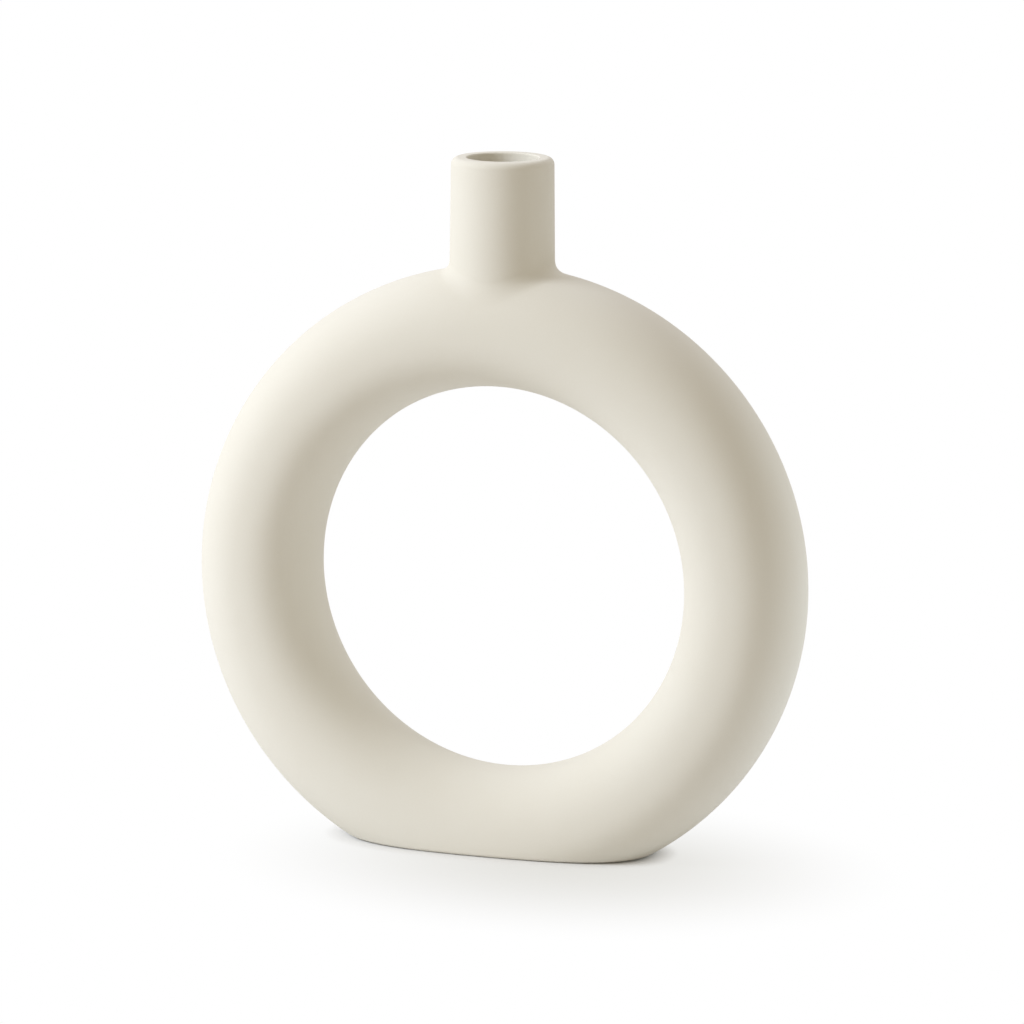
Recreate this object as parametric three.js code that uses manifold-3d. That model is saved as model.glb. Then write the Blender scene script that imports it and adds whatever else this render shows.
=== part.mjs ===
// Ring vase: a hollow clay ring on a flat foot, with a short neck on its crown.
// Millimetres, +Z up, +Y to the rear. The origin is in the middle of the underside.
// Each piece is one of the clay parts that are luted together before firing.

import * as THREE from "three";
import { mergeVertices } from "three/addons/utils/BufferGeometryUtils.js";
import Module from "manifold-3d";

const wasm = await Module();
wasm.setup();

// Driving dimensions of the ring
const ringWidth = 210;
const ringHeight = 210; // of the whole ring, before its underside is sliced off
const ringDepth = 44;
const holeWidth = 130.2;
const sectionExponent = 2.2; // 2 would be an ellipse, more is squarer
const wall = 5;
const footCut = 14; // what the flat underside takes off the ring

// Driving dimensions of the foot
const slabThickness = 5;
const slabEdgeRadius = 1.2;

// Driving dimensions of the neck
const neckHeight = 36.2; // above the ring's crown
const neckTopDiameter = 34;
const neckFootDiameter = 34.8;
const boreDiameter = 23.6;
const lipOuterRadius = 2.4;
const lipInnerRadius = 0.6;
const coilLeg = 4; // how far the coil runs up the neck and out over the ring

// Joints between the pieces
const slipThickness = 0.8;
const saddleGap = 0.3; // between the ring and what is shaped to sit on it
const cutReach = 1; // how far a cutting solid runs past what it cuts

// Facets
const ringSegments = 72;
const sectionSegments = 12; // round half of the ring's section
const cavitySegments = 10;
const neckSegments = 48;
const lipSegments = 4;
const slabSegments = 64;
const edgeSegments = 3;
const coilSegments = 5;
const slopeStep = 0.01; // over which the ring's slope is measured
const weldDistance = 1e-4;

// The ring is a revolved section, stretched upwards where its height and its width differ.
const stretch = ringHeight / ringWidth;
const tubeRadius = (ringWidth + holeWidth) / 4;
const tubeHalfWidth = (ringWidth - holeWidth) / 4;
const tubeHalfDepth = ringDepth / 2;
const centreHeight = ringHeight / 2 - footCut;
const crownHeight = centreHeight + ringHeight / 2;
const tubeCrownHeight = centreHeight + tubeRadius * stretch;
const lipHeight = crownHeight + neckHeight;
const boreRadius = boreDiameter / 2;
const wallFootHeight = slabThickness + slipThickness;
const seamEdge = slipThickness / 2;

const clayColour = 0xe4dfd2;
const clayRoughness = 0.85;

// Share of its half-width that the section keeps at a share of its half-depth, and the other way round.
function sectionShare(share) {
  const inside = Math.min(Math.abs(share), 1);
  return (1 - inside ** sectionExponent) ** (1 / sectionExponent);
}

// A power of a sine or cosine that keeps its sign, as a superellipse needs.
function signedPower(value) {
  return Math.sign(value) * Math.abs(value) ** (2 / sectionExponent);
}

// Point of the ring's section as (radius from the ring's axis, depth), inset into the clay.
function sectionPoint(angle, inset) {
  const radius = tubeRadius + (tubeHalfWidth - inset) * signedPower(Math.cos(angle));
  const depth = (tubeHalfDepth - inset) * signedPower(Math.sin(angle));
  return new THREE.Vector2(radius, depth);
}

// Half of the section, from the outer wall round the rear to the hole, ending at the seam's edge.
function halfSection(inset, segments) {
  const start = Math.asin((seamEdge / (tubeHalfDepth - inset)) ** (sectionExponent / 2));
  const points = [];
  for (let step = 0; step <= segments; step += 1) {
    const angle = start + ((Math.PI - 2 * start) * step) / segments;
    const point = sectionPoint(angle, inset);
    points.push(point);
  }
  points[0].y = seamEdge;
  points[segments].y = seamEdge;
  return points;
}

// Height of the ring's outside above a point near its crown.
function ringTop(x, y) {
  const radius = tubeRadius + tubeHalfWidth * sectionShare(y / tubeHalfDepth);
  return centreHeight + stretch * Math.sqrt(radius ** 2 - x ** 2);
}

function neckRadius(height) {
  const share = (height - crownHeight) / neckHeight;
  return THREE.MathUtils.lerp(neckFootDiameter, neckTopDiameter, share) / 2;
}

// Closed solid of a geometry, for cutting.
function solidOf(geometry) {
  const bare = geometry.clone();
  bare.deleteAttribute("normal");
  bare.deleteAttribute("uv");
  const welded = mergeVertices(bare, weldDistance);
  const vertProperties = welded.getAttribute("position").array;
  const triVerts = Uint32Array.from(welded.index.array);
  return new wasm.Manifold(new wasm.Mesh({ numProp: 3, vertProperties, triVerts }));
}

function geometryOf(solid) {
  const mesh = solid.getMesh();
  const geometry = new THREE.BufferGeometry();
  geometry.setAttribute("position", new THREE.BufferAttribute(mesh.vertProperties, 3));
  geometry.setIndex(new THREE.BufferAttribute(mesh.triVerts, 1));
  return geometry;
}

// Revolves a closed profile round the ring's axis, then stretches the ring and stands it on its foot.
function revolveRing(profile) {
  const closed = [...profile, profile[0].clone()];
  const geometry = new THREE.LatheGeometry(closed, ringSegments);
  geometry.scale(1, 1, stretch);
  geometry.translate(0, 0, centreHeight);
  return geometry;
}

// The ring without its hollow, drawn in by an inset: 0 is the outside, the wall is the cavity.
function fullRing(inset, segments) {
  const profile = [];
  for (let step = 0; step < 2 * segments; step += 1) {
    profile.push(sectionPoint((Math.PI * step) / segments, inset));
  }
  return solidOf(revolveRing(profile));
}

// Block across the whole ring between two heights.
function levelBlock(low, high) {
  const width = ringWidth + 2 * cutReach;
  const depth = ringDepth + 2 * cutReach;
  const block = new THREE.BoxGeometry(width, depth, high - low);
  block.translate(0, 0, (low + high) / 2);
  return solidOf(block);
}

// Everything below the ring's walls, and the bore that opens the chamber to the neck.
const underside = levelBlock(-footCut - cutReach, wallFootHeight);

function boreCutter() {
  const length = lipHeight - tubeCrownHeight;
  const cutter = new THREE.CylinderGeometry(boreRadius, boreRadius, length, neckSegments);
  cutter.rotateX(Math.PI / 2);
  cutter.translate(0, 0, tubeCrownHeight + length / 2);
  return solidOf(cutter);
}

const bore = boreCutter();

// Half of the hollow ring: a C-shaped section revolved, sliced for the foot and bored for the neck.
// Both halves come from one mould, so the front one is the rear one turned round.
function halfShell(turn) {
  const outside = halfSection(0, sectionSegments);
  const inside = halfSection(wall, cavitySegments).reverse();
  const geometry = revolveRing([...outside, ...inside]);
  geometry.rotateZ(turn);
  return geometryOf(solidOf(geometry).subtract(underside).subtract(bore));
}

// Thin band of slip in the mid-plane, filling the seam between two radii.
function seamBand(innerRadius, outerRadius) {
  const profile = [
    new THREE.Vector2(innerRadius, -seamEdge),
    new THREE.Vector2(outerRadius, -seamEdge),
    new THREE.Vector2(outerRadius, seamEdge),
    new THREE.Vector2(innerRadius, seamEdge),
  ];
  return solidOf(revolveRing(profile));
}

// The outer seam is parted by the bore into a left and a right run.
function outerSeam(side) {
  const outside = halfSection(0, sectionSegments);
  const inside = halfSection(wall, cavitySegments);
  const band = seamBand(inside[0].x, outside[0].x);
  const half = new THREE.BoxGeometry(ringWidth, ringDepth, ringHeight + cutReach);
  half.translate((side * ringWidth) / 2, 0, centreHeight);
  return geometryOf(band.intersect(solidOf(half)).subtract(underside).subtract(bore));
}

function holeSeam() {
  const outside = halfSection(0, sectionSegments);
  const inside = halfSection(wall, cavitySegments);
  const band = seamBand(outside[sectionSegments].x, inside[cavitySegments].x);
  return geometryOf(band.subtract(underside));
}

// Slip under the cut walls: the hollow ring's own section at the height of the joint.
function baseJoint() {
  const hollowRing = fullRing(0, sectionSegments).subtract(fullRing(wall, cavitySegments));
  return geometryOf(hollowRing.intersect(levelBlock(slabThickness, wallFootHeight)));
}

// Outline of the ring's outside at a height below its hole, inset into the clay.
function footOutline(height, inset) {
  const level = (centreHeight - height) / stretch;
  const halfLength = Math.sqrt((ringWidth / 2 - inset) ** 2 - level ** 2);
  const points = [];
  for (let step = 0; step < slabSegments; step += 1) {
    const angle = (2 * Math.PI * step) / slabSegments;
    const x = halfLength * Math.cos(angle);
    const across = (Math.hypot(x, level) - tubeRadius) / (tubeHalfWidth - inset);
    const halfWidth = (tubeHalfDepth - inset) * sectionShare(across);
    points.push(new THREE.Vector3(x, halfWidth * Math.sign(Math.sin(angle)), height));
  }
  points[0].y = 0;
  points[slabSegments / 2].y = 0;
  return points;
}

// Skin over rings of points that follow one another; the last ring joins the first when it is a loop.
function skin(rings, loop) {
  const count = rings[0].length;
  const index = [];
  const joins = loop ? rings.length : rings.length - 1;
  for (let ring = 0; ring < joins; ring += 1) {
    for (let step = 0; step < count; step += 1) {
      const next = (step + 1) % count;
      const low = ring * count;
      const high = ((ring + 1) % rings.length) * count;
      index.push(low + step, low + next, high + next);
      index.push(low + step, high + next, high + step);
    }
  }
  const points = rings.flat();
  if (!loop) {
    const top = (rings.length - 1) * count;
    for (let step = 1; step < count - 1; step += 1) {
      index.push(0, step + 1, step);
      index.push(top, top + step, top + step + 1);
    }
  }
  const geometry = new THREE.BufferGeometry().setFromPoints(points);
  geometry.setIndex(index);
  return geometry;
}

// Flat slab with the ring's own outline, rounded off along its lower edge.
function baseSlab() {
  const rings = [];
  for (let step = 0; step <= edgeSegments; step += 1) {
    const angle = (Math.PI / 2) * (step / edgeSegments);
    const height = slabEdgeRadius * (1 - Math.cos(angle));
    rings.push(footOutline(height, slabEdgeRadius * (1 - Math.sin(angle))));
  }
  rings.push(footOutline(slabThickness, 0));
  return skin(rings, false);
}

// Quarter circle that rounds an edge of the lip, from a start angle on.
function lipArc(centreRadius, edgeRadius, startAngle) {
  const points = [];
  for (let step = 0; step <= lipSegments; step += 1) {
    const angle = startAngle + (Math.PI / 2) * (step / lipSegments);
    const x = centreRadius + edgeRadius * Math.cos(angle);
    const height = lipHeight - edgeRadius * (1 - Math.sin(angle));
    points.push(new THREE.Vector2(x, height));
  }
  return points;
}

// Tapered tube with a flat lip, well rounded outside and barely inside.
// It runs down into the ring and is then cut to a saddle.
function neckTube() {
  const profile = [new THREE.Vector2(neckRadius(tubeCrownHeight), tubeCrownHeight)];
  profile.push(...lipArc(neckTopDiameter / 2 - lipOuterRadius, lipOuterRadius, 0));
  profile.push(...lipArc(boreRadius + lipInnerRadius, lipInnerRadius, Math.PI / 2));
  profile.push(new THREE.Vector2(boreRadius, tubeCrownHeight));
  profile.push(profile[0].clone());
  const geometry = new THREE.LatheGeometry(profile, neckSegments);
  geometry.rotateX(Math.PI / 2);
  return geometryOf(solidOf(geometry).subtract(fullRing(-saddleGap, sectionSegments)));
}

// Section of the coil in the upright plane at an angle round the neck: a hollow curve that leaves
// the neck and the ring along their own faces, and the corner between them.
function coilSection(turn) {
  const along = new THREE.Vector2(Math.cos(turn), Math.sin(turn));
  const seat = (radius) => ringTop(radius * along.x, radius * along.y) + saddleGap;
  const slope = (radius) => (seat(radius + slopeStep) - seat(radius)) / slopeStep;
  const cornerRadius = neckFootDiameter / 2 + saddleGap;
  const corner = new THREE.Vector2(cornerRadius, seat(cornerRadius));
  const upHeight = corner.y + coilLeg;
  const up = new THREE.Vector2(neckRadius(upHeight) + saddleGap, upHeight);
  const outRadius = cornerRadius + coilLeg / Math.hypot(1, slope(cornerRadius));
  const out = new THREE.Vector2(outRadius, seat(outRadius));
  const bend = new THREE.Vector2(up.x, out.y - slope(outRadius) * (out.x - up.x));
  const curve = new THREE.QuadraticBezierCurve(up, bend, out);
  const section = [...curve.getPoints(coilSegments), corner];
  return section.map((point) => new THREE.Vector3(point.x * along.x, point.x * along.y, point.y));
}

function neckCoil() {
  const rings = [];
  for (let step = 0; step < neckSegments; step += 1) {
    rings.push(coilSection((2 * Math.PI * step) / neckSegments));
  }
  return skin(rings, true);
}

const vase = new THREE.Group();
vase.name = "ring_vase";

function addPiece(name, geometry) {
  const material = new THREE.MeshStandardMaterial({
    color: clayColour,
    roughness: clayRoughness,
    metalness: 0,
  });
  const mesh = new THREE.Mesh(geometry, material);
  mesh.name = name;
  vase.add(mesh);
}

addPiece("front_half_shell", halfShell(Math.PI));
addPiece("rear_half_shell", halfShell(0));
addPiece("left_seam_slip", outerSeam(-1));
addPiece("right_seam_slip", outerSeam(1));
addPiece("hole_seam_slip", holeSeam());
addPiece("base_joint_slip", baseJoint());
addPiece("base_slab", baseSlab());
addPiece("neck_tube", neckTube());
addPiece("neck_coil", neckCoil());

export default vase;
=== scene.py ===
import math

import bpy
import numpy as np
from mathutils import Matrix, Vector


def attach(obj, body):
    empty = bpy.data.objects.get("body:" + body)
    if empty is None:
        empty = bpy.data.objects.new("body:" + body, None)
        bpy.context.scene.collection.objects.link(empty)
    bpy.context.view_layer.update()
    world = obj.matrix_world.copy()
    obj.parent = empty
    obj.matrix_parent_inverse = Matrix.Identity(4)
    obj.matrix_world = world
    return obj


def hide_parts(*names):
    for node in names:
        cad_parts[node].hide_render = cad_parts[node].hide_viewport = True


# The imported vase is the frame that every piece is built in: metres, +Z up, +Y to the rear,
# with the origin in the middle of the underside.
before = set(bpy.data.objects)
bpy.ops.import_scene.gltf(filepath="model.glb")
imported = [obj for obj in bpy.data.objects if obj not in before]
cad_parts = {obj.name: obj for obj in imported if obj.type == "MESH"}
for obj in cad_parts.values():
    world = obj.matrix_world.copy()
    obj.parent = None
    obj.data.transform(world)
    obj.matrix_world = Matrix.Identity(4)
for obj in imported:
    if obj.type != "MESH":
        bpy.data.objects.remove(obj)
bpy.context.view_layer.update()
scene = bpy.context.scene

# Half shells: the front and the rear half of the hollow ring, two pressed sheets of clay.
# One mould gives both, with a softly squared oval as its section, and they meet in the mid-plane.
# Their underside is sliced off level for the foot, and their crown is bored for the neck.
RING_WIDTH = 0.210
RING_HEIGHT = 0.210
RING_DEPTH = 0.044
HOLE_WIDTH = 0.1302
SECTION_EXPONENT = 2.2
WALL = 0.005
FOOT_CUT = 0.014
WALL_FOOT_HEIGHT = 0.0058
SEAM_EDGE = 0.0004
BORE_RADIUS = 0.0118
RING_STATIONS = 256
SECTION_STATIONS = 72
BORE_STATIONS = 192
CUT_REACH = 0.001
WELD = 1e-6
FACE_NEARNESS = 0.004
FACE_COSINE = 0.5

STRETCH = RING_HEIGHT / RING_WIDTH
TUBE_RADIUS = (RING_WIDTH + HOLE_WIDTH) / 4
TUBE_HALF_WIDTH = (RING_WIDTH - HOLE_WIDTH) / 4
TUBE_HALF_DEPTH = RING_DEPTH / 2
CENTRE_HEIGHT = RING_HEIGHT / 2 - FOOT_CUT
CROWN_HEIGHT = CENTRE_HEIGHT + RING_HEIGHT / 2

CLAY_PALE = (0.800, 0.775, 0.692, 1.0)
CLAY_WARM = (0.778, 0.745, 0.655, 1.0)
CLAY_ROUGHNESS = 0.84
CLAY_SHINE = 0.3
ROUGHNESS_SPREAD = 0.16
NOISE_MIDDLE = 0.5
CLOUDS = {"Scale": 24, "Detail": 3, "Roughness": 0.5}
GRAIN = {"Scale": 1500, "Detail": 2, "Roughness": 0.6}
SPONGE_MARKS = {"Scale": 95, "Detail": 2, "Roughness": 0.4}
CLOUD_SHARE = 1.6
GRAIN_SHARE = 0.7
MIDDLE_TONE = 0.45
SPONGE_RELIEF = {"Strength": 0.25, "Distance": 0.0002}
GRAIN_RELIEF = {"Strength": 0.2, "Distance": 0.00005}


class Wire:
    """The output of a node. Arithmetic on it adds Math nodes, and node() adds any other node."""

    def __init__(self, tree, socket):
        self.tree = tree
        self.socket = socket

    def node(self, kind, settings, inputs, output=0):
        made = self.tree.nodes.new(kind)
        for name, value in settings.items():
            setattr(made, name, value)
        for key, values in inputs.items():
            for value in values if isinstance(values, list) else [values]:
                if isinstance(value, Wire):
                    self.tree.links.new(value.socket, made.inputs[key])
                else:
                    made.inputs[key].default_value = value
        return Wire(self.tree, made.outputs[output])

    def math(self, operation, *values):
        return self.node("ShaderNodeMath", {"operation": operation}, dict(enumerate(values)))

    def __add__(self, other):
        return self.math("ADD", self, other)

    def __radd__(self, other):
        return self.math("ADD", other, self)

    def __sub__(self, other):
        return self.math("SUBTRACT", self, other)

    def __rsub__(self, other):
        return self.math("SUBTRACT", other, self)

    def __mul__(self, other):
        return self.math("MULTIPLY", self, other)

    def __rmul__(self, other):
        return self.math("MULTIPLY", other, self)

    def __truediv__(self, other):
        return self.math("DIVIDE", self, other)

    def __rtruediv__(self, other):
        return self.math("DIVIDE", other, self)

    def __pow__(self, other):
        return self.math("POWER", self, other)

    def __rpow__(self, other):
        return self.math("POWER", other, self)


def clay_finish():
    """Dry matte clay: soft clouds of tone, a fine grain, and the faint hollows of a sponge."""
    clay = bpy.data.materials.new("matte_clay")
    clay.use_nodes = True
    tree = clay.node_tree
    tree.nodes.clear()
    place = Wire(tree, tree.nodes.new("ShaderNodeTexCoord").outputs["Object"])
    noise = "ShaderNodeTexNoise"
    cloud = place.node(noise, {}, {"Vector": place, **CLOUDS}, "Fac")
    grain = place.node(noise, {}, {"Vector": place, **GRAIN}, "Fac")
    sponge = place.node(noise, {}, {"Vector": place, **SPONGE_MARKS}, "Fac")
    tone = (cloud - NOISE_MIDDLE) * CLOUD_SHARE + (grain - NOISE_MIDDLE) * GRAIN_SHARE + MIDDLE_TONE
    tone = tone.math("MAXIMUM", tone.math("MINIMUM", tone, 1), 0)
    factor, first, second, result = 0, 6, 7, 2  # places of a Mix node's colour sockets
    tints = {factor: tone, first: CLAY_PALE, second: CLAY_WARM}
    colour = place.node("ShaderNodeMix", {"data_type": "RGBA"}, tints, result)
    hollows = {"Height": sponge, **SPONGE_RELIEF}
    soft = place.node("ShaderNodeBump", {}, hollows, "Normal")
    pores = {"Height": grain, **GRAIN_RELIEF, "Normal": soft}
    dry = place.node("ShaderNodeBump", {}, pores, "Normal")
    looks = {
        "Base Color": colour,
        "Roughness": CLAY_ROUGHNESS + (grain - NOISE_MIDDLE) * ROUGHNESS_SPREAD,
        "Normal": dry,
        "Specular IOR Level": CLAY_SHINE,
    }
    body = place.node("ShaderNodeBsdfPrincipled", {}, looks, "BSDF")
    finish = tree.nodes.new("ShaderNodeOutputMaterial")
    tree.links.new(body.socket, finish.inputs["Surface"])
    return clay


clay = clay_finish()


def half_ring_tree():
    """Half of the hollow ring: a C-shaped section swept round the ring, sliced and bored."""
    tree = bpy.data.node_groups.new("half_ring", "GeometryNodeTree")
    lengths = ["Ring Width", "Ring Height", "Ring Depth", "Hole Width", "Section Exponent"]
    lengths += ["Wall", "Seam Edge", "Centre Height", "Wall Foot Height", "Bore Radius"]
    lengths += ["Cut Reach", "Side"]
    counts = ["Ring Stations", "Section Stations", "Bore Stations"]
    for name in lengths:
        tree.interface.new_socket(name, in_out="INPUT", socket_type="NodeSocketFloat")
    for name in counts:
        tree.interface.new_socket(name, in_out="INPUT", socket_type="NodeSocketInt")
    tree.interface.new_socket("Clay", in_out="INPUT", socket_type="NodeSocketMaterial")
    tree.interface.new_socket("Shell", in_out="OUTPUT", socket_type="NodeSocketGeometry")
    given = tree.nodes.new("NodeGroupInput")
    size = {socket.name: Wire(tree, socket) for socket in given.outputs if socket.name}
    exponent = size["Section Exponent"]
    half_depth = size["Ring Depth"] / 2
    tube_radius = (size["Ring Width"] + size["Hole Width"]) / 4
    half_width = (size["Ring Width"] - size["Hole Width"]) / 4
    stretch = size["Ring Height"] / size["Ring Width"]

    # Each row of the grid runs along the outside, back along the cavity, and home to its start.
    steps = size["Section Stations"]
    row = steps * 2 + 3
    index = Wire(tree, tree.nodes.new("GeometryNodeInputIndex").outputs[0])
    station = index.math("MODULO", index.math("MODULO", index, row), row - 1)
    turn = index.math("FLOOR", index / row) * (2 * math.pi) / size["Ring Stations"]
    cavity = index.math("GREATER_THAN", station, steps + 0.5)
    step = station + cavity * (steps * 2 + 1 - station * 2)
    inset = cavity * size["Wall"]
    depth_left = half_depth - inset
    start = index.math("ARCSINE", (size["Seam Edge"] / depth_left) ** (exponent / 2))
    angle = start + (math.pi - start * 2) * step / steps
    cosine = index.math("COSINE", angle)
    swing = index.math("SIGN", cosine) * index.math("ABSOLUTE", cosine) ** (2 / exponent)
    radius = tube_radius + (half_width - inset) * swing
    depth = depth_left * index.math("SINE", angle) ** (2 / exponent)
    x = radius * index.math("SINE", turn) * size["Side"]
    z = size["Centre Height"] + radius * index.math("COSINE", turn) * stretch
    place = index.node("ShaderNodeCombineXYZ", {}, {"X": x, "Y": depth * size["Side"], "Z": z})
    around = size["Ring Stations"] + 1
    grid = index.node("GeometryNodeMeshGrid", {}, {"Vertices X": around, "Vertices Y": row})
    sheet = index.node("GeometryNodeSetPosition", {}, {"Geometry": grid, "Position": place})
    tube = index.node("GeometryNodeMergeByDistance", {}, {"Geometry": sheet, "Distance": WELD})

    # The block takes everything below the walls' foot, and the rod opens the crown.
    low = size["Centre Height"] - size["Ring Height"] / 2 - size["Cut Reach"]
    high = size["Wall Foot Height"]
    broad = size["Ring Width"] + size["Cut Reach"] * 2
    thick = size["Ring Depth"] + size["Cut Reach"] * 2
    extent = index.node("ShaderNodeCombineXYZ", {}, {"X": broad, "Y": thick, "Z": high - low})
    cube = index.node("GeometryNodeMeshCube", {}, {"Size": extent})
    middle = index.node("ShaderNodeCombineXYZ", {}, {"Z": (low + high) / 2})
    block = index.node("GeometryNodeTransform", {}, {"Geometry": cube, "Translation": middle})
    reach = size["Ring Height"] / 2
    sides = {"Vertices": size["Bore Stations"], "Radius": size["Bore Radius"], "Depth": reach}
    pole = index.node("GeometryNodeMeshCylinder", {}, sides)
    mouth = size["Centre Height"] + tube_radius * stretch + reach / 2
    above = index.node("ShaderNodeCombineXYZ", {}, {"Z": mouth})
    rod = index.node("GeometryNodeTransform", {}, {"Geometry": pole, "Translation": above})
    cut = {"operation": "DIFFERENCE", "solver": "MANIFOLD"}
    shell = index.node("GeometryNodeMeshBoolean", cut, {"Mesh 1": tube, "Mesh 2": [block, rod]})
    whole = index.node("GeometryNodeRealizeInstances", {}, {"Geometry": shell})
    coat = {"Geometry": whole, "Material": size["Clay"]}
    dressed = index.node("GeometryNodeSetMaterial", {}, coat)
    result = tree.nodes.new("NodeGroupOutput")
    tree.links.new(dressed.socket, result.inputs["Shell"])
    return tree


def section_share(share):
    """Share of the section's half-width at a share of its half-depth, or the reverse."""
    inside = np.minimum(np.abs(share), 1)
    return (1 - inside**SECTION_EXPONENT) ** (1 / SECTION_EXPONENT)


def ring_field(points, inset=0.0):
    """How far out points lie in the ring's section, 1 on its surface, and the way outwards."""
    x, y, z = np.moveaxis(points, -1, 0)
    level = (z - CENTRE_HEIGHT) / STRETCH
    radius = np.hypot(x, level)
    across = (radius - TUBE_RADIUS) / (TUBE_HALF_WIDTH - inset)
    along = y / (TUBE_HALF_DEPTH - inset)
    power = SECTION_EXPONENT - 1
    outwards = np.sign(across) * np.abs(across) ** power / (TUBE_HALF_WIDTH - inset)
    rearwards = np.sign(along) * np.abs(along) ** power / (TUBE_HALF_DEPTH - inset)
    way = np.stack([outwards * x / radius, rearwards, outwards * level / radius / STRETCH], -1)
    field = np.abs(across) ** SECTION_EXPONENT + np.abs(along) ** SECTION_EXPONENT
    return field, way / np.linalg.norm(way, axis=-1, keepdims=True)


def shell_faces(points):
    """The smooth faces of a half shell: its outside, its cavity and the bore's wall."""
    field, way = ring_field(points)
    yield np.abs(field - 1) < FACE_NEARNESS, way
    field, way = ring_field(points, WALL)
    yield np.abs(field - 1) < FACE_NEARNESS, -way
    radius = np.hypot(points[:, 0], points[:, 1])
    inwards = np.stack([-points[:, 0], -points[:, 1], 0 * radius], -1)
    inwards /= np.maximum(radius, WELD)[:, None]
    yield np.abs(radius - BORE_RADIUS) < FACE_NEARNESS * BORE_RADIUS, inwards


def smooth_shell(mesh):
    """Gives a shell the true normals of its smooth faces, and flat ones to its cut edges."""
    points = np.empty(len(mesh.vertices) * 3)
    mesh.vertices.foreach_get("co", points)
    points = points.reshape(-1, 3)
    corner = np.empty(len(mesh.loops), int)
    mesh.loops.foreach_get("vertex_index", corner)
    first = np.empty(len(mesh.polygons), int)
    mesh.polygons.foreach_get("loop_start", first)
    count = np.empty(len(mesh.polygons), int)
    mesh.polygons.foreach_get("loop_total", count)
    flat = np.empty(len(mesh.polygons) * 3)
    mesh.polygons.foreach_get("normal", flat)
    normals = np.repeat(flat.reshape(-1, 3), count, axis=0)
    flat = normals.copy()
    for lies_on, way in shell_faces(points):
        agrees = np.einsum("ij,ij->i", flat, way[corner]) > FACE_COSINE
        whole = np.logical_and.reduceat(lies_on[corner] & agrees, first)
        smooth = np.repeat(whole, count)
        normals[smooth] = way[corner][smooth]
    mesh.shade_smooth()
    mesh.normals_split_custom_set(normals.tolist())


half_ring = half_ring_tree()
mould = {
    "Ring Width": RING_WIDTH,
    "Ring Height": RING_HEIGHT,
    "Ring Depth": RING_DEPTH,
    "Hole Width": HOLE_WIDTH,
    "Section Exponent": SECTION_EXPONENT,
    "Wall": WALL,
    "Seam Edge": SEAM_EDGE,
    "Centre Height": CENTRE_HEIGHT,
    "Wall Foot Height": WALL_FOOT_HEIGHT,
    "Bore Radius": BORE_RADIUS,
    "Cut Reach": CUT_REACH,
    "Ring Stations": RING_STATIONS,
    "Section Stations": SECTION_STATIONS,
    "Bore Stations": BORE_STATIONS,
    "Clay": clay,
}
for node, side in {"front_half_shell": -1.0, "rear_half_shell": 1.0}.items():
    shell = bpy.data.objects.new("fired_" + node, bpy.data.meshes.new("pressing"))
    scene.collection.objects.link(shell)
    press = shell.modifiers.new("press", "NODES")
    press.node_group = half_ring
    for socket in half_ring.interface.items_tree:
        if socket.in_out == "INPUT":
            press[socket.identifier] = {**mould, "Side": side}[socket.name]
    pressed = shell.evaluated_get(bpy.context.evaluated_depsgraph_get())
    mesh = bpy.data.meshes.new_from_object(pressed)
    shell.modifiers.remove(press)
    shell.data = mesh
    smooth_shell(mesh)
    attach(shell, "root")
    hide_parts(node)

# Seam slip: liquid clay that joins the two half shells in the mid-plane, sponged level with them.
# The outer seam runs from the foot to the bore on the left and on the right.
# The third run goes all round the hole.


def clay_piece(name, patches):
    """Closed clay piece from patches: grids of points, each with the way that its face looks."""
    corners, ways, quads = [], [], []
    base = 0
    for points, way in patches:
        rows, columns = points.shape[:2]
        way = np.broadcast_to(way, points.shape)
        index = base + np.arange(rows * columns).reshape(rows, columns)
        quad = np.stack([index[:-1, :-1], index[:-1, 1:], index[1:, 1:], index[1:, :-1]], -1)
        across = points[1:, 1:] - points[:-1, :-1]
        along = points[1:, :-1] - points[:-1, 1:]
        facing = np.einsum("ijk,ijk->", np.cross(across, along), way[:-1, :-1])
        quads.append((quad if facing > 0 else quad[..., ::-1]).reshape(-1, 4))
        corners.append(points.reshape(-1, 3))
        ways.append(way.reshape(-1, 3))
        base += rows * columns
    corners = np.concatenate(corners)
    ways = np.concatenate(ways)
    spots, welded = np.unique(np.round(corners / WELD).astype(int), axis=0, return_inverse=True)
    first = np.full(len(spots), len(corners))
    np.minimum.at(first, welded.ravel(), np.arange(len(corners)))
    faces, normals = [], []
    for quad in np.concatenate(quads):
        kept = {int(welded.ravel()[corner]): int(corner) for corner in quad}
        if len(kept) > 2:
            faces.append(list(kept))
            normals += [ways[corner].tolist() for corner in kept.values()]
    mesh = bpy.data.meshes.new(name)
    mesh.from_pydata(corners[first].tolist(), [], faces)
    mesh.shade_smooth()
    mesh.normals_split_custom_set(normals)
    mesh.materials.append(clay)
    piece = bpy.data.objects.new(name, mesh)
    scene.collection.objects.link(piece)
    return piece


def seam_points(turns, radius, depth):
    """Points round the ring at a radius and a depth from the mid-plane."""
    x = radius * np.sin(turns)
    z = CENTRE_HEIGHT + STRETCH * radius * np.cos(turns)
    return np.stack([x, np.full_like(x, depth), z], -1)


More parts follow.
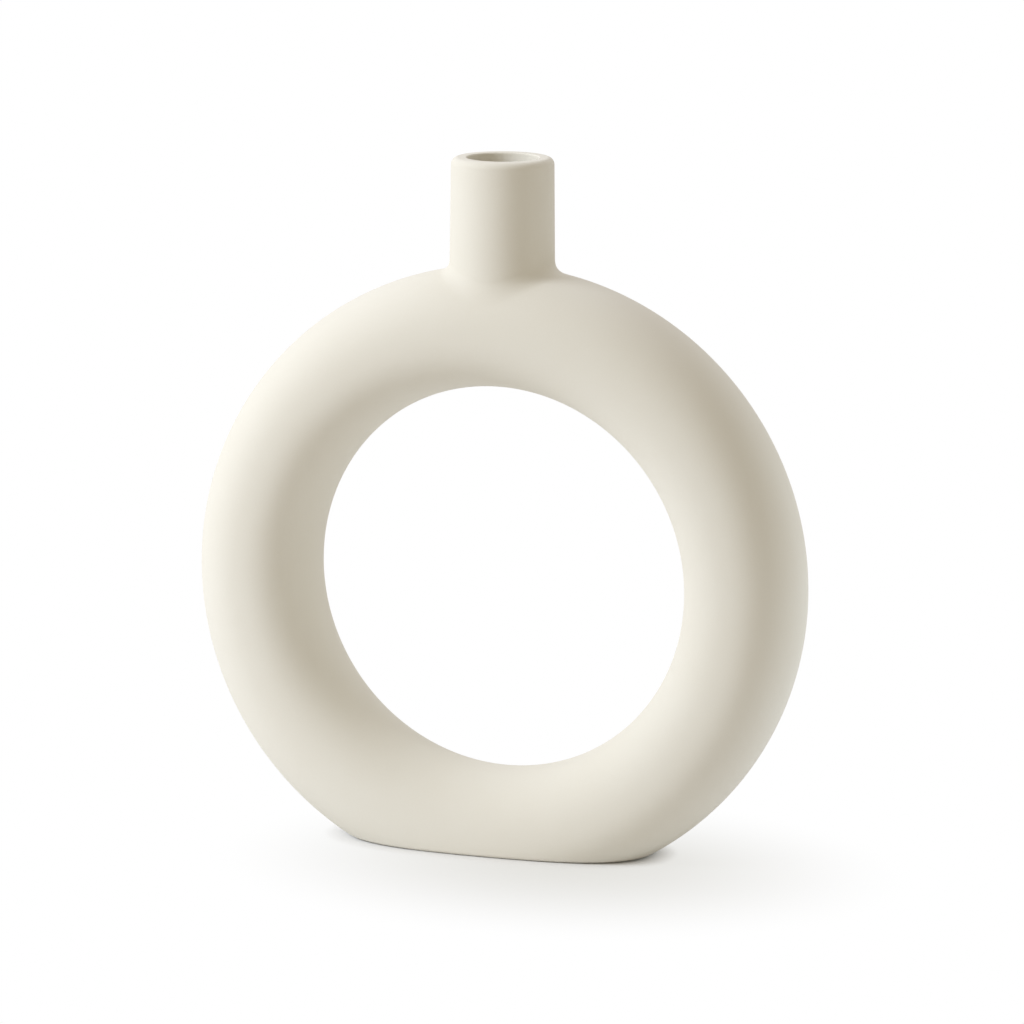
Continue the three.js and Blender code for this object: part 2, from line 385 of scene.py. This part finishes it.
def seam_band(outer_turns, inner_turns, outer_radius, inner_radius, outer_inset, inner_inset):
    """A seam's four long edges, and its long faces: outside, chamber, rear and front."""
    edges = [
        seam_points(outer_turns, outer_radius, -SEAM_EDGE),
        seam_points(outer_turns, outer_radius, SEAM_EDGE),
        seam_points(inner_turns, inner_radius, SEAM_EDGE),
        seam_points(inner_turns, inner_radius, -SEAM_EDGE),
    ]
    outer = np.stack(edges[:2])
    inner = np.stack(edges[2:])
    outer_way = ring_field(outer, outer_inset)[1]
    inner_way = ring_field(inner, inner_inset)[1]
    return edges, [
        (outer, outer_way if outer_inset == 0 else -outer_way),
        (inner, inner_way if inner_inset == 0 else -inner_way),
        (np.stack(edges[1:3]), np.array([0.0, 1.0, 0.0])),
        (np.stack([edges[3], edges[0]]), np.array([0.0, -1.0, 0.0])),
    ]


def seam_radius(side, inset):
    """Radius of the ring's outside, or of its cavity, at the seam's edge."""
    share = section_share(SEAM_EDGE / (TUBE_HALF_DEPTH - inset))
    return TUBE_RADIUS + side * (TUBE_HALF_WIDTH - inset) * share


outside_radius = seam_radius(1, 0)
chamber_radius = seam_radius(1, WALL)
ring_turns = np.linspace(0, 2 * math.pi, RING_STATIONS + 1)
bore_edge = math.sqrt(BORE_RADIUS**2 - SEAM_EDGE**2)
for node, side in {"left_seam_slip": -1, "right_seam_slip": 1}.items():
    ends = []
    for radius in (outside_radius, chamber_radius):
        foot_level = (CENTRE_HEIGHT - WALL_FOOT_HEIGHT) / (STRETCH * radius)
        ends.append((math.asin(bore_edge / radius), math.pi - math.acos(foot_level)))
    between = ring_turns[(ring_turns > ends[0][0]) & (ring_turns < ends[0][1])]
    outer_turns = np.concatenate([ends[0][:1], between, ends[0][1:]])
    inner_turns = np.interp(outer_turns, ends[0], ends[1])
    band = side * outer_turns, side * inner_turns, outside_radius, chamber_radius, 0.0, WALL
    edges, patches = seam_band(*band)
    for end, way in {0: (-side, 0.0, 0.0), -1: (0.0, 0.0, -1.0)}.items():
        cap = np.array([[edges[0][end], edges[1][end]], [edges[3][end], edges[2][end]]])
        patches.append((cap, np.array(way)))
    slip = clay_piece("fired_" + node, patches)
    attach(slip, "root")
    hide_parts(node)

hole_band = ring_turns, ring_turns, seam_radius(-1, 0), seam_radius(-1, WALL), 0.0, WALL
hole_slip = clay_piece("fired_hole_seam_slip", seam_band(*hole_band)[1])
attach(hole_slip, "root")
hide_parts("hole_seam_slip")

# Foot: a flat slab of clay that closes the sliced underside, and the slip that joins it on.
# Both are trimmed to the ring's own outline, so that its curve runs down to the ground.
# The slab's lower edge is rubbed round, and the vase stands on its flat underside.
SLAB_THICKNESS = 0.005
SLAB_EDGE_RADIUS = 0.0012
FOOT_STATIONS = 288
EDGE_STEPS = 8


def foot_outline(height, inset=0.0):
    """Outline of the ring's outside, or of its cavity, at a height below the hole."""
    level = (CENTRE_HEIGHT - height) / STRETCH
    half_length = math.sqrt((RING_WIDTH / 2 - inset) ** 2 - level**2)
    angle = np.linspace(0, 2 * math.pi, FOOT_STATIONS + 1)
    x = half_length * np.cos(angle)
    across = (np.hypot(x, level) - TUBE_RADIUS) / (TUBE_HALF_WIDTH - inset)
    y = (TUBE_HALF_DEPTH - inset) * section_share(across) * np.sign(np.sin(angle))
    y[[0, FOOT_STATIONS // 2, FOOT_STATIONS]] = 0
    return np.stack([x, y, np.full_like(x, height)], -1)


def level_face(outline, up):
    """Flat face inside an outline that is the same to the front and to the rear."""
    half = FOOT_STATIONS // 2 + 1
    rear = outline[:half]
    front = rear * np.array([1.0, -1.0, 1.0])
    return np.stack([rear, front]), np.array([0.0, 0.0, up])


heights = (SLAB_THICKNESS, WALL_FOOT_HEIGHT)
outer = np.stack([foot_outline(height) for height in heights])
inner = np.stack([foot_outline(height, WALL) for height in heights])
joint_slip = clay_piece("fired_base_joint_slip", [
    (outer, ring_field(outer)[1]),
    (inner, -ring_field(inner, WALL)[1]),
    (np.stack([outer[0], inner[0]]), np.array([0.0, 0.0, -1.0])),
    (np.stack([outer[1], inner[1]]), np.array([0.0, 0.0, 1.0])),
])
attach(joint_slip, "root")
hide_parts("base_joint_slip")

wall_heights = np.linspace(SLAB_EDGE_RADIUS, SLAB_THICKNESS, EDGE_STEPS)
slab_wall = np.stack([foot_outline(height) for height in wall_heights])
rounding, rounding_way = [], []
wall_way = ring_field(slab_wall)[1]
for angle in np.linspace(0, math.pi / 2, EDGE_STEPS + 1):
    height = SLAB_EDGE_RADIUS * (1 - math.cos(angle))
    rounding.append(foot_outline(height, SLAB_EDGE_RADIUS * (1 - math.sin(angle))))
    way = math.sin(angle) * wall_way[0] + math.cos(angle) * np.array([0.0, 0.0, -1.0])
    rounding_way.append(way / np.linalg.norm(way, axis=-1, keepdims=True))
slab = clay_piece("fired_base_slab", [
    (slab_wall, wall_way),
    (np.stack(rounding), np.stack(rounding_way)),
    level_face(rounding[0], -1.0),
    level_face(slab_wall[-1], 1.0),
])
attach(slab, "root")
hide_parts("base_slab")

# Neck: a short clay tube, a little wider at its foot, with a flat lip that is rubbed round outside.
# Its lower end is cut to a saddle that sits on the ring's crown, over the bore.
NECK_HEIGHT = 0.0362
NECK_TOP_RADIUS = 0.017
NECK_FOOT_RADIUS = 0.0174
LIP_OUTER_RADIUS = 0.0024
LIP_INNER_RADIUS = 0.0006
NECK_STATIONS = 192
NECK_STEPS = 16
LIP_STEPS = 10
SETTLE_ROUNDS = 4
LIP_HEIGHT = CROWN_HEIGHT + NECK_HEIGHT
NECK_TAPER = (NECK_FOOT_RADIUS - NECK_TOP_RADIUS) / NECK_HEIGHT

neck_turns = np.linspace(0, 2 * math.pi, NECK_STATIONS + 1)
spoke = np.stack([np.cos(neck_turns), np.sin(neck_turns), 0 * neck_turns], -1)
upright = np.array([0.0, 0.0, 1.0])


def ring_top(radius):
    """Height of the ring's outside round the neck's axis, at a radius from it."""
    x, y = (radius * spoke[:, axis] for axis in (0, 1))
    reach = TUBE_RADIUS + TUBE_HALF_WIDTH * section_share(y / TUBE_HALF_DEPTH)
    return CENTRE_HEIGHT + STRETCH * np.sqrt(reach**2 - x**2)


def neck_radius(height):
    """Radius of the neck's outside at a height."""
    return NECK_TOP_RADIUS + NECK_TAPER * (LIP_HEIGHT - height)


def turned(radius, height):
    """Ring of points round the neck's axis."""
    return spoke * np.reshape(radius, (-1, 1)) + upright * np.reshape(height, (-1, 1))


seat = ring_top(NECK_FOOT_RADIUS)
for settle in range(SETTLE_ROUNDS):
    seat = ring_top(neck_radius(seat))
mouth = ring_top(BORE_RADIUS)
outer_wall, inner_wall, saddle = [], [], []
for share in np.linspace(0, 1, NECK_STEPS + 1):
    height = seat + (LIP_HEIGHT - LIP_OUTER_RADIUS - seat) * share
    outer_wall.append(turned(neck_radius(height), height))
    height = mouth + (LIP_HEIGHT - LIP_INNER_RADIUS - mouth) * share
    inner_wall.append(turned(BORE_RADIUS, height))
    radius = BORE_RADIUS + (neck_radius(seat) - BORE_RADIUS) * share
    saddle.append(turned(radius, ring_top(radius)))
outer_lip, inner_lip, outer_lip_way, inner_lip_way = [], [], [], []
lip_edge = neck_radius(LIP_HEIGHT - LIP_OUTER_RADIUS)
for angle in np.linspace(0, math.pi / 2, LIP_STEPS + 1):
    back, down = 1 - math.cos(angle), 1 - math.sin(angle)
    height = LIP_HEIGHT - LIP_OUTER_RADIUS * down
    outer_lip.append(turned(lip_edge - LIP_OUTER_RADIUS * back, height))
    height = LIP_HEIGHT - LIP_INNER_RADIUS * down
    inner_lip.append(turned(BORE_RADIUS + LIP_INNER_RADIUS * back, height))
    outer_lip_way.append(spoke * math.cos(angle) + upright * math.sin(angle))
    inner_lip_way.append(upright * math.sin(angle) - spoke * math.cos(angle))
saddle = np.stack(saddle)
neck = clay_piece("fired_neck_tube", [
    (np.stack(outer_wall), (spoke + NECK_TAPER * upright)[None]),
    (np.stack(outer_lip), np.stack(outer_lip_way)),
    (np.stack([outer_lip[-1], inner_lip[-1]]), upright),
    (np.stack(inner_lip), np.stack(inner_lip_way)),
    (np.stack(inner_wall), -spoke[None]),
    (saddle, -ring_field(saddle)[1]),
])
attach(neck, "root")
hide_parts("neck_tube")

# Neck coil: a thin roll of soft clay pressed into the angle between the neck and the ring.
# It is smoothed with a finger to a hollow that runs out evenly into both.
COIL_LEG = 0.004
COIL_STEPS = 20
SLOPE_STEP = 1e-6

corner_radius = neck_radius(seat)
slope = (ring_top(corner_radius + SLOPE_STEP) - seat) / SLOPE_STEP
hem_radius = corner_radius + COIL_LEG / np.hypot(1, slope)
hem_height = ring_top(hem_radius)
hem_slope = (ring_top(hem_radius + SLOPE_STEP) - hem_height) / SLOPE_STEP
top_height = seat + COIL_LEG
top_radius = neck_radius(top_height)
# The hollow is drawn towards the crossing of the neck's line and the ring's slope at its hem.
bend_height = hem_height - hem_slope * (hem_radius - top_radius - NECK_TAPER * top_height)
bend_height = bend_height / (1 + hem_slope * NECK_TAPER)
bend_radius = neck_radius(bend_height)
hollow = []
for share in np.linspace(0, 1, COIL_STEPS + 1):
    pull = ((1 - share) ** 2, 2 * share * (1 - share), share**2)
    radius = pull[0] * top_radius + pull[1] * bend_radius + pull[2] * hem_radius
    height = pull[0] * top_height + pull[1] * bend_height + pull[2] * hem_height
    hollow.append(turned(radius, height))
hollow = np.stack(hollow)
against_neck = np.stack([turned(corner_radius, seat), hollow[0]])
against_ring = np.stack([turned(corner_radius, seat), hollow[-1]])
hollow_way = np.cross(np.gradient(hollow, axis=0), np.gradient(hollow, axis=1))
hollow_way /= np.linalg.norm(hollow_way, axis=-1, keepdims=True)
hollow_way[0] = spoke
hollow_way[-1] = ring_field(hollow[-1])[1]
coil = clay_piece("fired_neck_coil", [
    (hollow, hollow_way),
    (against_neck, -spoke[None]),
    (against_ring, -ring_field(against_ring)[1]),
])
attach(coil, "root")
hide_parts("neck_coil")

# Stage: a sheet of white paper under the vase, a white surround, and soft studio light.
# Round the foot the paper carries a painted shadow, an oval of painted shade with a little real
# shadow in it, and is plain white further out, like the surround.
PAPER_SIZE = 0.9
PAPER_DROP = 0.0001
PAPER_COLOUR = (0.85, 0.85, 0.85, 1.0)
WHITE = (1.0, 1.0, 1.0, 1.0)
# Colour of the painted shade in the middle of the oval round the foot.
PAINTED_SHADE_COLOUR = (0.785, 0.777, 0.742, 1.0)
SHADE_MIDDLE = (0.028, -0.020)
SHADE_WIDTH = 0.241
SHADE_DEPTH = 0.189
CONTACT_REACH = 0.0055
SHADOW_SHARE = 0.12
FILL_COLOUR = (1.0, 0.90, 0.73, 1.0)
FILL_STRENGTH = 0.485

paper_mesh = bpy.data.meshes.new("paper")
edge = PAPER_SIZE / 2
corners = [(-edge, -edge, -PAPER_DROP), (edge, -edge, -PAPER_DROP)]
corners += [(edge, edge, -PAPER_DROP), (-edge, edge, -PAPER_DROP)]
paper_mesh.from_pydata(corners, [], [(0, 1, 2, 3)])
paper = bpy.data.objects.new("floor", paper_mesh)
scene.collection.objects.link(paper)


def white_rays(tree):
    """1 for the rays that see plain white: from the camera, off a shine or through a glass."""
    path = tree.nodes.new("ShaderNodeLightPath")
    shown = Wire(tree, path.outputs["Is Camera Ray"])
    for ray in ("Is Glossy Ray", "Is Transmission Ray"):
        shown = shown.math("MAXIMUM", shown, Wire(tree, path.outputs[ray]))
    return shown


white_paper = bpy.data.materials.new("white_paper")
white_paper.use_nodes = True
tree = white_paper.node_tree
tree.nodes.clear()
spot = tree.nodes.new("ShaderNodeSeparateXYZ")
tree.links.new(tree.nodes.new("ShaderNodeTexCoord").outputs["Object"], spot.inputs[0])
x, y = Wire(tree, spot.outputs["X"]), Wire(tree, spot.outputs["Y"])
shown = white_rays(tree)
# The painted shadow is a soft oval of painted shade that lies a little in front of the foot and to
# its right.
beside = (x - SHADE_MIDDLE[0]) / (SHADE_WIDTH / 2)
before = (y - SHADE_MIDDLE[1]) / (SHADE_DEPTH / 2)
clear = x.math("MINIMUM", x.math("SQRT", beside * beside + before * before), 1)
clear = clear * clear * (3 - clear * 2)
# A thin dark line follows the foot's outline, measured in the ring's own section.
radius = x.math("SQRT", x * x + (CENTRE_HEIGHT / STRETCH) ** 2)
across = x.math("ABSOLUTE", radius - TUBE_RADIUS) / TUBE_HALF_WIDTH
along = x.math("ABSOLUTE", y) / TUBE_HALF_DEPTH
field = across**SECTION_EXPONENT + along**SECTION_EXPONENT
away = (field ** (1 / SECTION_EXPONENT) - 1) * TUBE_HALF_DEPTH
apart = x.math("MINIMUM", x.math("MAXIMUM", away / CONTACT_REACH, 0), 1)
matte = x.node("ShaderNodeBsdfDiffuse", {}, {"Color": PAPER_COLOUR})
painted_shade = x.node("ShaderNodeEmission", {}, {"Color": PAINTED_SHADE_COLOUR, "Strength": 1.0})
plain = x.node("ShaderNodeEmission", {}, {"Color": WHITE, "Strength": 1.0})
glow = x.node("ShaderNodeMixShader", {}, {0: clear, 1: painted_shade, 2: plain})
# Close to the foot the paper shows only its real, lamp-lit shadow; inside the oval at most
# SHADOW_SHARE of it shows, and the rest is painted shade that fades to plain white at the oval's
# edge.
share = apart * (1 - SHADOW_SHARE + clear * SHADOW_SHARE)
mixed = x.node("ShaderNodeMixShader", {}, {0: shown * share, 1: matte, 2: glow})
out = tree.nodes.new("ShaderNodeOutputMaterial")
tree.links.new(mixed.socket, out.inputs["Surface"])
paper_mesh.materials.append(white_paper)

world = bpy.data.worlds.new("studio")
scene.world = world
world.use_nodes = True
tree = world.node_tree
tree.nodes.clear()
shown = white_rays(tree)
fill = shown.node("ShaderNodeBackground", {}, {"Color": FILL_COLOUR, "Strength": FILL_STRENGTH})
white = shown.node("ShaderNodeBackground", {}, {"Color": WHITE, "Strength": 1.0})
mixed = shown.node("ShaderNodeMixShader", {}, {0: shown, 1: fill, 2: white})
out = tree.nodes.new("ShaderNodeOutputWorld")
tree.links.new(mixed.socket, out.inputs["Surface"])

ring_middle = Vector((0, 0, CENTRE_HEIGHT))


def bearing(azimuth, elevation):
    """Way from the ring's middle to a place, in degrees round from the front and above."""
    turn, lift = math.radians(azimuth), math.radians(elevation)
    level = math.cos(lift)
    return Vector((math.sin(turn) * level, -math.cos(turn) * level, math.sin(lift)))


def softbox(name, azimuth, elevation, distance, width, power, colour):
    """Square lamp that looks at the ring's middle."""
    back = bearing(azimuth, elevation)
    lamp = bpy.data.lights.new(name, "AREA")
    lamp.size = width
    lamp.energy = power
    lamp.color = colour
    box = bpy.data.objects.new(name, lamp)
    box.location = ring_middle + back * distance
    box.rotation_euler = back.to_track_quat("Z", "Y").to_euler()
    scene.collection.objects.link(box)


softbox("key", azimuth=-56, elevation=28, distance=1.4, width=0.5, power=14.5,
        colour=(0.83, 0.89, 1.0))
softbox("card", azimuth=110, elevation=0, distance=0.24, width=0.14, power=0.096,
        colour=(0.75, 0.86, 1.0))
softbox("back", azimuth=180, elevation=65, distance=0.9, width=1.0, power=3.1,
        colour=(0.74, 0.80, 1.0))

# Camera: at the photograph's place, a little to the right of the vase and above it.
# Its lens, aim and roll put the ring's outline where the photograph has it.
CAMERA_AZIMUTH = 18.5
CAMERA_ELEVATION = 11.84
CAMERA_DISTANCE = 1.8
CAMERA_ROLL = -0.23
FOCAL_PIXELS = 5395.36
RING_CENTRE_PIXEL = (501.31, 577.58)
IMAGE_PIXELS = 1024
SENSOR = 36.0

back = bearing(CAMERA_AZIMUTH, CAMERA_ELEVATION)
right = (-back).cross(Vector((0, 0, 1))).normalized()
up = right.cross(-back)
aside = (RING_CENTRE_PIXEL[0] - IMAGE_PIXELS / 2) / FOCAL_PIXELS
below = (IMAGE_PIXELS / 2 - RING_CENTRE_PIXEL[1]) / FOCAL_PIXELS
aim = Vector((0, 0, 1)).rotation_difference(Vector((aside, below, 1))).to_matrix()
roll = Matrix.Rotation(math.radians(CAMERA_ROLL), 3, "Z")
axes = roll @ aim @ Matrix((right, up, -back))
lens = bpy.data.cameras.new("camera")
lens.sensor_width = SENSOR
lens.lens = FOCAL_PIXELS * SENSOR / IMAGE_PIXELS
camera = bpy.data.objects.new("camera", lens)
tripod = Matrix.Translation(ring_middle + back * CAMERA_DISTANCE)
camera.matrix_world = tripod @ Matrix((axes[0], axes[1], -axes[2])).transposed().to_4x4()
scene.collection.objects.link(camera)
scene.camera = camera

scene.view_settings.view_transform = "Standard"
